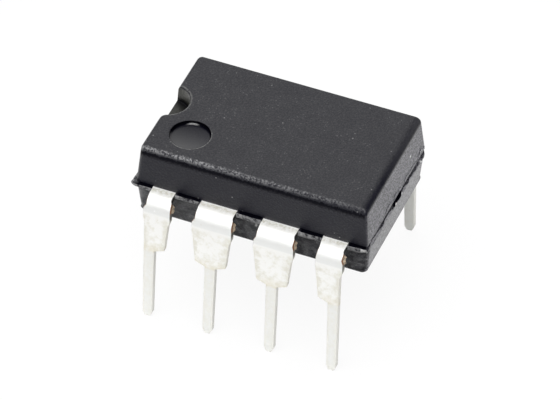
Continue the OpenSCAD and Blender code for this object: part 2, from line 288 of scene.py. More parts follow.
def body_levels():
    """The body's profile from the top face down, one row a ring: reach to the notch end, to the
    other end, to the front and to the back, corner radius, height, raggedness, and share in
    the height and in the depth of the dark gap at the wall's foot. The walls are straight with
    their draft, and the ledge stands out between them, behind a groove."""
    rows = []
    low_wall_z = underside_z + low_edge_r

    def ring(length, width, radius, z, rag=0.0, outs=(0.0, 0.0), open_z=0.0, sunk=0.0,
             insets=(0, 0)):
        rows.append([length + outs[0], length + outs[1] - insets[0], width - insets[1], width,
                     radius, z, rag, open_z, sunk])

    def upper_ring(z, further=0.0):
        below = top_z - z
        own = edge_inset(below, top_edge_across, top_edge_r)
        ring(half_l - (z - parting_z) * end_draft - own - further,
             half_w - (z - parting_z) * side_draft - own - further,
             max(corner_r - own, face_corner_r), z,
             insets=(edge_inset(below, *end_edge) - own, edge_inset(below, *front_edge) - own))

    for margin in face_margins:
        upper_ring(top_z, margin)
    for a in np.radians(np.linspace(0, 84, 13)):
        upper_ring(top_z - top_edge_r * (1 - math.cos(a)))
    for t in np.linspace(0.04, 0.98, 24) ** 1.5:
        upper_ring(top_z - top_edge_r - (top_z - top_edge_r - parting_z) * t)
    for rise, open_z, sunk in groove_profile:
        ring(half_l, half_w - rise * MM, corner_r, parting_z + rise * MM, 0, (0, 0), open_z, sunk)
    for out, drop, rag in ledge_profile:
        in_groove = out < 0.6 and drop < 0.06
        at_rim = out > 0.7 and drop < 0.12
        ring(half_l, half_w + side_ledge * out, ledge_corner_r if at_rim else corner_r,
             parting_z - drop * MM, rag,
             (left_ledge * out, right_ledge * max(out, min(drop * MM / sheet_t, 1))),
             sunk=0.5 * in_groove)
    for t in np.linspace(0, 1, 10):
        z = parting_z - sheet_t + (low_wall_z - parting_z + sheet_t) * t
        pull = (parting_z - z) * lower_draft
        ring(half_l - pull, half_w - pull, corner_r, z, 0.15 * (t < 0.1), (0, right_ledge))
    pull = (parting_z - low_wall_z) * lower_draft
    for a in np.radians(np.linspace(80, 0, 9)):
        z = low_wall_z - low_edge_r * math.cos(a)
        end_pull = pull + edge_inset(z - underside_z, low_end_r, low_end_r)
        side_pull = pull + edge_inset(z - underside_z, low_edge_r, low_edge_r)
        ring(half_l - end_pull, half_w - side_pull, low_corner_r, z, 0, (0, right_ledge))
    for margin in face_margins[::-1]:
        ring(half_l - end_pull - margin, half_w - side_pull - margin, face_corner_r, underside_z)
    return np.array(rows)


def corner_radii(q, radius, height, rag):
    """Each point's corner radius, as worn. The plain end's front corner is crisp down to the
    middle of the ledge and blunt below it, that end's back corner is blunt from the ledge
    down, and the ledge's front corner at the notch end is rounder than the wall's."""
    plain_end = q[:, 0] > 0
    ledge_mid_z = parting_z - sheet_t / 2
    crisp = plain_end & (q[:, 1] < 0) & (height > ledge_mid_z)
    radius = np.where(crisp, np.minimum(radius, sharp_corner_r), radius)
    ledge_tip = (q[:, 0] < 0) & (q[:, 1] < 0) & (rag > 0.6)
    radius = np.where(ledge_tip, np.maximum(radius, ledge_tip_r), radius)
    blunt = plain_end & (height <= parting_z) & ((q[:, 1] > 0) | (height < ledge_mid_z))
    worn_r = np.where(rag > 0.4, blunt_corner_r, radius * blunt_corner_r / corner_r)
    return np.where(blunt, worn_r, radius)


def end_split(along, wander, bend):
    """The dark split over the ledge at the plain end, by place along the wall, in millimetres:
    how far its upper edge rises, how far the ledge sags under it, and how black it is painted as
    shade. It opens from the front to the back, is pinched once, stands highest over the cut tie
    bar and at the back corner, and both its edges wander."""
    front_y, full_y, black_y = -2.8, -0.4, -0.8
    pinch_y, pinch_reach, pinch = -1.45, 0.35, 0.4
    bar_y, bar_reach, bar_rise = 0.08, 0.34, 0.06
    back_y, back_reach, back_rise = 3.1, math.sqrt(0.3), 0.04
    usual_rise, usual_sag, rough = 0.17, 0.14, 0.05
    opened = np.clip((along - front_y) / (full_y - front_y), 0.1, 1)
    opened = opened * (1 - pinch * np.exp(-((along - pinch_y) / pinch_reach) ** 2))
    rise = usual_rise + bar_rise * np.exp(-((along - bar_y) / bar_reach) ** 6)
    rise = rise + back_rise * np.exp(-((along - back_y) / back_reach) ** 2)
    rise = rise * opened + rough * wander * opened + rough * bend
    sag = (usual_sag + rough * np.roll(wander, 3)) * opened - rough * bend
    black = np.clip((along - front_y) / (black_y - front_y), 0.2, 0.62)
    return np.maximum(rise, 0.02), np.clip(sag, 0.01, 0.2), black


def between_leads(x):
    """1 where no lead leaves the side wall, with a short ramp beside each shoulder."""
    ramp, shoulder_clear, row_end = 0.05 * MM, 0.78 * MM, 4.0 * MM
    from_lead = np.abs(np.abs(np.abs(x) - pitch) - pitch / 2)
    return np.maximum(np.clip((from_lead - shoulder_clear) / ramp, 0, 1),
                      np.clip((np.abs(x) - row_end) / ramp, 0, 1))


def body_rings():
    """The body's skin: each level's rounded rectangle, ragged at the ledge, where smoothed
    noise at two widths round the loop moves its edge in and out and its rim only downwards.
    Between the leads and at the plain end a dark gap lies over the ledge, sunk into the wall's
    foot. The ledge sags at the plain end, is chipped off at that end's back corner and gets
    thinner towards the notch end. Gives each point's share of painted shade in the gap too."""
    q, n = loop_directions(0.03 * MM, 12)
    left, right, front, rear, radius, height, rag, open_z, sunk = [
        column[:, None] for column in body_levels().T]
    generator = np.random.default_rng(7)
    coarse = smoothed_noise(generator, len(n), 8)
    fine = smoothed_noise(generator, len(n), 2)
    coarse_wave, fine_wave, droop = 0.012 * MM, 0.008 * MM, 0.012 * MM
    wave = coarse_wave * np.clip(coarse, -2, 1.4) + fine_wave * fine
    lift = -droop * np.abs(smoothed_noise(generator, len(n), 5))
    wander = smoothed_noise(generator, len(n), 2.5)
    bend = smoothed_noise(generator, len(n), 6)

    radius = corner_radii(q, radius, height, rag)
    reach = np.where(q[:, 0] > 0, right, left)
    width = np.where(q[:, 1] > 0, rear, front)
    corner = (q * [half_l, half_w] - [half_l, half_w]) / MM
    chip_reach, chip_fade = 0.7, 0.2
    chip = np.clip((chip_reach - np.hypot(*corner.T)) / chip_fade, 0, 1) * (width > half_w)
    width = width - (width - half_w) * chip
    x = q[:, 0] * (reach - radius) + n[:, 0] * radius
    y = q[:, 1] * (width - radius) + n[:, 1] * radius

    along = y / MM
    rise, sag, black = end_split(along, wander, bend)
    at_end = np.clip(n[:, 0] * 4 - 3, 0, 1)
    at_side = np.clip(np.abs(n[:, 1]) * 4 - 3, 0, 1) * between_leads(x)
    gap_rise, gap_depth, split_depth = 0.11, 0.09, 0.12
    lifted = MM * (rise * at_end + (gap_rise + 0.02 * wander) * at_side) * open_z
    depth = MM * (split_depth * at_end + gap_depth * at_side) * (sunk > 0.9)
    x = x + n[:, 0] * (wave * rag - depth)
    y = y + n[:, 1] * (wave * rag - depth)

    in_ledge = (height <= parting_z) & (height >= parting_z - sheet_t)
    lowered = parting_z - sag * MM - (parting_z - height) * (1 - sag * MM / sheet_t)
    height = np.where(in_ledge, height + (lowered - height) * at_end, height)
    thinner = np.interp(x / MM, *ledge_thinning)
    height = np.where(in_ledge, height + (parting_z - height) * thinner, height)

    # Share of painted shade in the gap over the ledge and in the split at the plain end.
    gap = np.minimum(sunk * 2, 1) * np.maximum(at_end, at_side)
    gap = gap * (1 - at_end * (1 - black))
    faded_y, fade_length, faded = 1.8, 0.4, 0.6
    gap = gap * (1 - faded * np.clip((along - faded_y) / fade_length, 0, 1))
    return np.stack([x, y, height + lift * rag + lifted], -1), gap


def keep_values(piece, shape, values):
    """Stores each named grid of values on the piece, one for each vertex."""
    for name, value in values.items():
        layer = piece.data.attributes.new(name, "FLOAT", "POINT")
        layer.data.foreach_set("value", np.broadcast_to(value, shape).astype(np.float32).ravel())


rings, gap = body_rings()
moulding = closed_skin("body_moulding", rings)
keep_values(moulding, rings.shape[:2], {"gap": gap})
ejector_profile = [[ejector_r, underside_z - 1 * MM], [ejector_r, underside_z + ejector_depth]]
ejector_cutters = [turned_tool("ejector_tool_%d" % k, ejector_profile, [x, 0])
                   for k, x in enumerate((-ejector_x, ejector_x))]
shaped(moulding, [notch_cutter(), mark_cutter(), *ejector_cutters])
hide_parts("moulded_body")
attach(moulding, "root")


class Field:
    """A value that varies over a surface: a shader socket that takes + - * ** and clamps."""

    def __init__(self, tree, socket):
        self.tree = tree
        self.socket = socket

    def maths(self, operation, *values, clamp=False):
        node = self.tree.nodes.new("ShaderNodeMath")
        node.operation = operation
        node.use_clamp = clamp
        for slot, value in zip(node.inputs, values):
            if isinstance(value, Field):
                self.tree.links.new(value.socket, slot)
            else:
                slot.default_value = value
        return Field(self.tree, node.outputs[0])

    def __add__(self, other):
        return self.maths("ADD", self, other)

    def __radd__(self, other):
        return self.maths("ADD", other, self)

    def __sub__(self, other):
        return self.maths("SUBTRACT", self, other)

    def __rsub__(self, other):
        return self.maths("SUBTRACT", other, self)

    def __mul__(self, other):
        return self.maths("MULTIPLY", self, other)

    def __rmul__(self, other):
        return self.maths("MULTIPLY", other, self)

    def __pow__(self, other):
        return self.maths("POWER", self, other)

    def step(self, low, high):
        """0 below low and 1 above high, with a straight rise between them."""
        return self.maths("MULTIPLY_ADD", self, 1 / (high - low), low / (low - high), clamp=True)

    def hill(self, foot, top, past_top, far_foot):
        """0 up to the foot, 1 on the top and 0 again from the far foot on."""
        return self.step(foot, top) * (1 - self.step(past_top, far_foot))

    def size(self):
        return self.maths("ABSOLUTE", self)

    def modulo(self, other):
        return self.maths("FLOORED_MODULO", self, other)


def far_from(a, b, centre):
    """Distance from a centre in the plane of two coordinates."""
    a, b = a - centre[0], b - centre[1]
    return (a * a + b * b) ** 0.5


class Wiring:
    """The node tree of a material or a sky, built node by node. Lengths are in millimetres."""

    def __init__(self, owner, last):
        owner.use_nodes = True
        self.owner = owner
        self.tree = owner.node_tree
        self.last = self.tree.nodes[last]

    def node(self, kind, settings=(), inputs=(), output=0):
        """One node: its settings first, with a ramp's stops as place and colour, then its
        inputs by name or number. Gives the chosen output as a Field."""
        node = self.tree.nodes.new("ShaderNode" + kind)
        for name, value in dict(settings).items():
            if name == "stops":
                ramp = node.color_ramp.elements
                while len(ramp) < len(value):
                    ramp.new(0.5)
                for element, (where, colour) in zip(ramp, value):
                    element.position = where
                    element.color = (*colour, 1)
            else:
                setattr(node, name, value)
        for name, value in dict(inputs).items():
            if isinstance(value, Field):
                self.tree.links.new(value.socket, node.inputs[name])
            else:
                node.inputs[name].default_value = value
        return Field(self.tree, node.outputs[output])

    def place(self, shift=0, stretch=(1, 1, 1)):
        """Object coordinates in millimetres, shifted so that patterns don't repeat alike."""
        return self.node("Mapping", inputs={
            "Vector": self.node("TexCoord", output="Object"),
            "Location": (shift * 17.3, shift * 5.1, 0),
            "Scale": tuple(s / MM for s in stretch)})

    def axes(self):
        split = self.node("SeparateXYZ", inputs={"Vector": self.place()})
        return [Field(self.tree, split.socket.node.outputs[k]) for k in range(3)]

    def noise(self, size, detail=2, rough=0.5, shift=0, stretch=(1, 1, 1)):
        """Soft noise about 0.5 with features of about the given size."""
        return self.node("TexNoise", inputs={
            "Vector": self.place(shift, stretch), "Scale": 1 / size, "Detail": detail,
            "Roughness": rough})

    def flecks(self, size, radius, shift=0):
        """1 at scattered points about size apart, falling to 0 at the given radius."""
        far = self.node("TexVoronoi", inputs={"Vector": self.place(shift), "Scale": 1 / size},
                        output="Distance")
        return 1 - far.step(0.4 * radius / size, radius / size)

    def blend(self, share, first, second):
        """Colour that goes from first to second as share goes from 0 to 1."""
        sockets = {0: share, 6: self.colour(first), 7: self.colour(second)}
        return self.node("Mix", {"data_type": "RGBA"}, sockets, output=2)

    def colour(self, value):
        return value if isinstance(value, Field) else (*value, 1)

    def attribute(self, name):
        return self.node("Attribute", {"attribute_name": name}, output="Fac")

    def rays(self, *kinds):
        """1 for rays of the given kinds and 0 for all others."""
        share = 0.0
        for kind in kinds:
            share = share + self.node("LightPath", output="Is %s Ray" % kind)
        return share

    def feed(self, **fields):
        """Leads fields to the last node's sockets and gives the owner."""
        for socket, field in fields.items():
            self.tree.links.new(field.socket, self.last.inputs[socket.replace("_", " ")])
        return self.owner

    def bump(self, height, distance, strength=1.0, under=None):
        """Relief of the given height field, laid over an earlier one."""
        inputs = {"Height": height, "Distance": distance * MM, "Strength": strength}
        if under is not None:
            inputs["Normal"] = under
        return self.node("Bump", inputs=inputs)


class Finish(Wiring):
    """A material whose last node is the Principled shader, with its constant sockets set."""

    def __init__(self, name, **sockets):
        super().__init__(bpy.data.materials.new(name), "Principled BSDF")
        for socket, value in sockets.items():
            self.last.inputs[socket.replace("_", " ")].default_value = value

    def with_painted_shade(self, share):
        """Mixes a dead black shader in by the share as painted shade, after all other fields are
        fed.
        """
        black = self.node("BsdfDiffuse", inputs={"Color": (0.002, 0.002, 0.004, 1)})
        shiny = Field(self.tree, self.last.outputs[0])
        self.last = self.tree.nodes["Material Output"]
        return self.feed(Surface=self.node("MixShader", inputs={0: share, 1: shiny, 2: black}))


def epoxy_finish():
    """Filled epoxy: near black with a fine silica grain and sparse pale flecks. It is scuffed
    along the front rim under a painted highlight, over a line of painted shade, worn at the
    notch's rim, with a painted highlight on the pin 1 mark's near rim, smooth in the mark,
    frosted on the end wall, which is painted pale as lit, with a few painted glints, and crusted
    on the ledge's edge, which is painted pale where it catches light. Painted shade, mixed in as
    dead black, also fills the gap over the ledge, the notch's foot and the far side of the mark,
    and the lower front wall is darker in blotches and towards the plain end."""
    finish = Finish("epoxy_moulding", IOR=1.44, Sheen_Weight=0.06, Sheen_Roughness=0.35)
    x, y, z = finish.axes()
    front = 0 - y
    top, parting, width, long = top_z / MM, parting_z / MM, half_w / MM, half_l / MM
    grain = finish.noise(0.07, 2, 0.65)
    cloud = finish.noise(0.7, 3, 0.5, shift=1)
    crust = finish.noise(0.14, 4, 0.65, shift=4)
    scuff = finish.noise(0.09, 3, 0.7, shift=8)
    patch = finish.noise(0.35, 3, 0.6, shift=10)
    streak = finish.noise(0.16, 4, 0.65, shift=6, stretch=(0.25, 0.25, 1))
    upright = finish.noise(0.12, 2, 0.5, shift=9, stretch=(1, 1, 0.15))
    on_top = z.step(top - 0.06, top - 0.02)
    below = 1 - z.step(parting - 0.3, parting - 0.2)

    # Grain and clouds on the top face, streaks on the darker walls, flecks and dust over both.
    face = finish.blend(grain.step(0.42, 0.68) * 0.75 + cloud.step(0.3, 0.7) * 0.25,
                        (0.0, 0.0, 0.003), (0.04, 0.04, 0.043))
    wall_wear_and_end_light = (streak * 0.7 + patch * 0.5).step(0.42, 0.78) * (1.4 - x.step(-1, 4) * 0.8)
    wall_wear_and_end_light = grain.step(0.42, 0.68) * 0.18 + below * wall_wear_and_end_light
    # Painted light: the walls paler at the plain end, as lit from that side.
    wall_wear_and_end_light = wall_wear_and_end_light + x.step(long - 0.4, long - 0.2) * y.step(-1, 2.6) * 0.8
    walls = finish.blend(wall_wear_and_end_light, (0.0, 0.0, 0.006), (0.04, 0.04, 0.045))
    base = finish.blend(on_top * 0.6, walls, face)
    speck = finish.flecks(0.42, 0.035, shift=2) * finish.noise(0.9, 1, shift=3).step(0.5, 0.6)
    dust = finish.flecks(0.13, 0.03, shift=7) * cloud.step(0.45, 0.6) * z.step(top - 0.02, top)

    # Pin 1 mark: painted light, paler towards the front, and painted shade at its far wall, its
    # foot and its far floor, but for a painted highlight crescent.
    mark_x, mark_y, mark_edge = mark_place[0] / MM, mark_place[1] / MM, mark_r / MM
    mark_foot = mark_z / MM + 0.03
    mark_far = far_from(x, y, (mark_x, mark_y))
    in_mark = (1 - mark_far.step(mark_edge, mark_edge + 0.02)) * (1 - on_top)
    far_half = (y - mark_y).step(-0.1, 0.1)
    beside_crescent = (x - mark_x + 0.19).size().step(0.12, 0.3)
    # Painted highlight: a pale crescent at the foot of the far wall.
    crescent_highlight = in_mark * mark_far.step(mark_edge - 0.1, mark_edge - 0.06)
    crescent_highlight = crescent_highlight * (y - mark_y).step(0, 0.1) * (1 - beside_crescent)
    # Painted shade: the far wall, the foot line beside the crescent and the floor towards the far
    # side.
    mark_wall_shade = 1 - mark_far.step(mark_edge + 0.03, mark_edge + 0.04)
    mark_wall_shade = mark_wall_shade * z.hill(mark_foot - 0.01, mark_foot, top - 0.02, top - 0.005)
    mark_foot_shade = in_mark * mark_far.step(mark_edge - 0.07, mark_edge - 0.03) * beside_crescent
    mark_wall_shade = mark_wall_shade * far_half + mark_foot_shade * far_half * 0.8
    mark_floor_shade = in_mark * (y - mark_y - (x - mark_x) * 0.4).step(-0.5, 0.75) * (1 - crescent_highlight)
    # Painted light: the mark's floor paler towards the front.
    mark_front_light = in_mark * (mark_y - y + (mark_x - x) * 0.3).step(-0.6, 0.8)
    base = finish.blend((speck * (1 - in_mark) + dust * 0.4) * 0.5, base, (0.4, 0.4, 0.4))
    base = finish.blend(mark_front_light * 0.7, base, (0.07, 0.07, 0.07))
    base = finish.blend(crescent_highlight, base, (0.22, 0.22, 0.22))

    # Notch: its wall streaked upright and painted paler towards its top as lit, with painted shadow
    # at its foot; the notch's rim worn, and the pin 1 mark's near rim given a painted highlight.
    notch_edge, floor_z = notch_r / MM, notch_z / MM
    notch_far = far_from(x, y, (notch_x / MM, 0))
    in_notch = 1 - notch_far.step(notch_edge + 0.02, notch_edge + 0.04)
    in_notch = in_notch * z.hill(floor_z - 0.03, floor_z - 0.01, top - 0.1, top - 0.07)
    # Painted light: the notch wall paler towards its top.
    ribs_and_light = z.step(floor_z + 0.05, floor_z + 0.55) * (0.35 + upright.step(0.35, 0.65) * 0.75)
    base = finish.blend(in_notch, base, (0.012, 0.012, 0.009))
    base = finish.blend(in_notch * ribs_and_light, base, (0.058, 0.058, 0.048))
    # Painted shadow at the notch's foot.
    notch_foot_shadow = in_notch * notch_far.step(0.45, 0.85)
    notch_foot_shadow = notch_foot_shadow * (1 - z.step(floor_z + 0.04, floor_z + 0.22))
    notch_rim = 1 - (notch_far - notch_edge - 0.05).size().step(0.01, 0.05)
    # Painted highlight on the pin 1 mark's near rim.
    mark_rim_highlight = 1 - (mark_far - mark_edge - 0.02).size().step(0.005, 0.03)
    mark_rim_highlight = mark_rim_highlight * z.step(top - 0.03, top - 0.01) * (x - y - mark_x + mark_y).step(-0.1, 0.5)
    rim_wear_and_highlight = notch_rim * z.step(top - 0.09, top - 0.05) + mark_rim_highlight * 1.6
    base = finish.blend((rim_wear_and_highlight * grain.step(0.3, 0.6) * 0.5).step(0, 1), base, (0.22, 0.22, 0.21))

    # Front rim: a painted highlight along its slope, scuffed, weaker towards the plain end, over a
    # line of painted shade.
    down_front = (front - width) * 0.875 - z + (top + 0.375)
    past = x + (z - parting).size() * 0.084 - long
    at_front = front.step(width - 0.5, width - 0.4) * (1 - past.step(-0.1, -0.05))
    across = down_front + (scuff - 0.5) * 0.35
    # Painted highlight along the front rim, scuffed.
    rim_highlight_and_scuff = across.hill(0.08, 0.22, 0.27, 0.43) * at_front
    rim_highlight_and_scuff = rim_highlight_and_scuff * (1 - x.step(-2.4, 2.4) * 0.5 - x.step(2.4, 4.8) * 0.3)
    rim_highlight_and_scuff = rim_highlight_and_scuff * (0.08 + scuff.step(0.44, 0.58) * 0.92)
    base = finish.blend(rim_highlight_and_scuff * 0.58, base, (0.5, 0.5, 0.51))
    # Painted shade: the black line under the rim's highlight.
    line = across.hill(0.38, 0.45, 0.54, 0.7) * at_front

    # End wall: frosted by coarse silica up to the rim, painted pale as lit from that side, and
    # paler still below the parting line.
    end_wall = past.step(-0.08, -0.03) * (1 - z.step(top - 0.29, top - 0.24))
    from_corner = y + width - (z - parting).size() * 0.11
    end_wall = end_wall * (0.1 + from_corner.step(0, 0.32) * 0.9)
    frost = finish.noise(0.075, 2, 0.7, shift=5).step(0.38, 0.64)
    hollows = finish.blend(below, (0.0, 0.0, 0.006), (0.05, 0.05, 0.055))
    # Painted light: the end wall's pale frost, as lit from that side.
    lit_frost = finish.blend(below, (0.27, 0.265, 0.3), (0.37, 0.365, 0.39))
    base = finish.blend(end_wall, base, finish.blend(frost, hollows, lit_frost))

    # Ledge: crusted along its edge and painted pale where that edge catches light, flaky at the
    # notch end, with one curled chip on the front wall above it and paler patches beside each lead.
    # Four painted glints lie on the end wall.
    # Painted highlight: the crusted lip pale where it catches light.
    lit_crusted_lip = (front.step(width + 0.09, width + 0.13) + y.step(width + 0.09, width + 0.13)
           + (0 - x).step(long + 0.03, long + 0.07)).step(0, 1)
    lit_crusted_lip = lit_crusted_lip * z.step(parting - 0.24, parting - 0.14) * (1 - past.step(-0.02, 0))
    lit_crusted_lip = lit_crusted_lip * (1 - x.step(long - 0.7, long - 0.4) * 0.5)
    base = finish.blend(lit_crusted_lip * crust.step(0.44, 0.56) * 0.75, base, (0.32, 0.32, 0.325))
    flaky = (0 - x).step(long - 0.45, long - 0.2) * (1 - z.step(parting - 0.05, parting))
    flaky = flaky * front.step(2.6, 2.9) * crust.step(0.35, 0.6)
    base = finish.blend(flaky * 0.6, base, (0.2, 0.2, 0.2))
    chip_x, chip_z, chip_r = 0.125, 5.33, 0.12
    chip = 1 - (far_from(x, z, (chip_x, chip_z)) - chip_r).size().step(0.02, 0.06)
    chip = chip * at_front * (x + z - (chip_x + chip_z)).step(-0.08, 0.02)
    base = finish.blend(chip * (0.5 + crust.step(0.4, 0.6) * 0.5), base, (0.4, 0.4, 0.4))
    pitch_mm = pitch / MM
    # Paler patches on the ledge beside each lead.
    beside = (x + 2 * pitch_mm).modulo(pitch_mm) - pitch_mm / 2
    lead_side_patch = beside.hill(0.72, 0.77, 0.9, 1.05) * front.step(width + 0.04, width + 0.08)
    lead_side_patch = lead_side_patch * z.step(parting - 0.22, parting - 0.15) * (0.6 + x.step(3.5, 4.5) * 0.4)
    base = finish.blend(lead_side_patch * crust.step(0.36, 0.5), base, (0.45, 0.45, 0.45))
    # Painted glints: near-white dots on the end wall.
    for glint_y, glint_rise in ((0.46, -0.2), (1.44, -0.31), (2.4, -0.21), (1.5, 0.8)):
        painted_glint = 1 - far_from(y, z, (glint_y, parting + glint_rise)).step(0.03, 0.07)
        base = finish.blend(end_wall * painted_glint, base, (0.98, 0.98, 0.98))
    base = finish.blend(below * at_front * crust.step(0.56, 0.66) * 0.35, base, (0.2, 0.2, 0.2))

    relief = finish.bump(grain, 0.02, 1 - in_mark * 0.85)
    relief = finish.bump(crust * (lit_crusted_lip + lead_side_patch), 0.06, 0.8, relief)
    finish.feed(Base_Color=base, Roughness=0.28 + cloud * 0.08 - in_mark * 0.06, Normal=relief)
    # Painted shade, mixed in as dead black: the gap over the ledge, the mark's far wall and floor,
    # the line under the front rim and the notch's foot. The lower front wall is darker in blotches
    # and towards the plain end.
    low_front = below * front.step(width - 0.4, width - 0.3) * (1 - lit_crusted_lip)
    blotch = (1 - patch.step(0.42, 0.56)) * (0.12 + x.step(-2.6, -1) * 0.3)
    painted_shade_and_blotches = finish.attribute("gap") + mark_floor_shade * 0.5 + line * 0.8 + mark_wall_shade * 0.95
    painted_shade_and_blotches = painted_shade_and_blotches + notch_foot_shadow * 0.85 + low_front * (blotch + x.step(0.5, 4) * 0.12)
    return finish.with_painted_shade(painted_shade_and_blotches.step(0, 1))


moulding.data.materials.clear()
moulding.data.materials.append(epoxy_finish())


# Leads: stamped from copper alloy sheet with the rest of the frame, tin-plated, cut free from
# the dam bar, which leaves a bare stub at each side of the bend, and bent down. The two rows
# are alike, with a half shoulder on the corner leads.
front_splay = math.radians(3.6)
back_splay = math.radians(5.2)
bend_r = 0.3 * MM
bend_start = half_w + 0.31 * MM
shoulder_half = 0.745 * MM

# Waists over the bend, left and right as seen from the front, and the flat's widening at its
# inner edge, both by lead from the notch end.
waists = [[0.05 * MM, 0], [0.05 * MM, 0.01 * MM], [0.04 * MM, 0.03 * MM], [0, 0.04 * MM]]
flat_widening = [0, 0, 0, 0.08 * MM]

stub_half = 0.785 * MM
burr = 0.09 * MM
shear_bulge = 0.06 * MM
torn_start = 0.2 * MM
torn_end = 0.58 * MM
tear_waves = [0.021 * MM, 0.053 * MM]
bulge_start = 0.12 * MM
bulge_end = 1.2 * MM
sheet_edge_r = 0.028 * MM
foot_half = 0.63 * MM
leg_half = 0.22 * MM
leg_end_half = 0.2 * MM
tip_half = 0.11 * MM
finger_half = 0.4 * MM
jog = 0.012 * MM
stub_l = 0.3 * MM
shoulder_l = 1.77 * MM
step_l = 0.15 * MM
tip_l = 0.2 * MM
root_y = half_w - 0.55 * MM
finger_tip_y = 1.38 * MM
corner_tip_y = 0.64 * MM
corner_tip_x = 1.95 * MM
tip_set = [-0.03 * MM, -0.05 * MM, -0.01 * MM, 0.04 * MM]
back_tip_set = 0.04 * MM
mid_r = bend_r + sheet_t / 2
bend_z = parting_z - sheet_t - bend_r


def plate_length(splay):
    """Length of the plate below the bend, with which its inner lower edge lies on z = 0."""
    return (bend_z + bend_r * math.sin(splay)) / math.cos(splay)


def lead_sides(corner, bend_l, plate_l, tip_shift, waist_pair, widening):
    """Outer and inner edge of a lead that lies left of the row's middle, as rows of distance
    along the sheet, counted from the start of the bend, and offset from the leg's centre. Over
    the bend each edge is set back by its own waist, outer and inner, before the stub of the dam
    bar stands out, and at its inner edge the flat is wider by the widening."""
    wall = bend_start - half_w
    root = bend_start - root_y
    foot = bend_l + shoulder_l
    neck = foot + step_l
    end = bend_l + plate_l
    shift = tip_shift * (end - tip_l - neck) / (end - neck)
    leg = [[neck, leg_half, 0], [end - tip_l, leg_end_half, shift], [end, tip_half, tip_shift]]
    stub = stub_half - shoulder_half

    def bend_edge(half, waist, wider=0.0):
        return [[-wall, half + wider], [0, half + wider * 0.6], [bend_l * 0.3, half - waist * 0.6],
                [bend_l * 0.68, half + stub * 0.8 - waist * 1.6], [bend_l * 0.85, half + stub],
                [bend_l + stub_l, half + stub]]

    outer_waist, inner_waist = waist_pair
    inner = bend_edge(shoulder_half, inner_waist, widening) + [[foot, foot_half]]
    inner += [[s, half + move] for s, half, move in leg]
    if corner:
        lead_x = 1.5 * pitch
        finger_x = lead_x - corner_tip_x
        inner = [[corner_tip_y - bend_start, finger_x], [finger_tip_y - bend_start, finger_x],
                 [-root, shoulder_half]] + inner
        outer = [[corner_tip_y - bend_start, finger_x - 2 * finger_half], [-root, -leg_half]]
        outer += [[s, -half] for s, half in bend_edge(leg_half, outer_waist)]
        outer += [[bend_l + 2 * stub_l, -leg_half]]
    else:
        inner = [[finger_tip_y - bend_start, finger_half], [-root - jog, finger_half],
                 [-root + jog, shoulder_half]] + inner
        outer = [[finger_tip_y - bend_start, -finger_half], [-root - jog, -finger_half],
                 [-root + jog, -shoulder_half]]
        outer += [[s, -half] for s, half in bend_edge(shoulder_half, outer_waist)]
        outer += [[foot, -foot_half]]
    outer += [[s, move - half] for s, half, move in leg]
    return np.array(outer), np.array(inner)


def sheet_section(edge_steps=5, face_steps=7):
    """A sheet's cross-section walked round once, as rows of position across from -1 to 1, side
    of the sheet, and the two parts of the rounded edge's turn. The broad faces are divided
    so that the attributes on them stay where they are."""
    rows = []
    turn = np.linspace(0, math.pi / 2, edge_steps)
    spread = np.linspace(-1, 1, face_steps)[1:-1]
    rows += [[1, 1, math.sin(a), math.cos(a)] for a in turn]
    rows += [[1, -1, math.cos(a), -math.sin(a)] for a in turn]
    rows += [[u, -1, 0, -1] for u in spread[::-1]]
    rows += [[-1, -1, -math.sin(a), -math.cos(a)] for a in turn]
    rows += [[-1, 1, -math.cos(a), math.sin(a)] for a in turn]
    rows += [[u, 1, 0, 1] for u in spread]
    return np.array(rows)


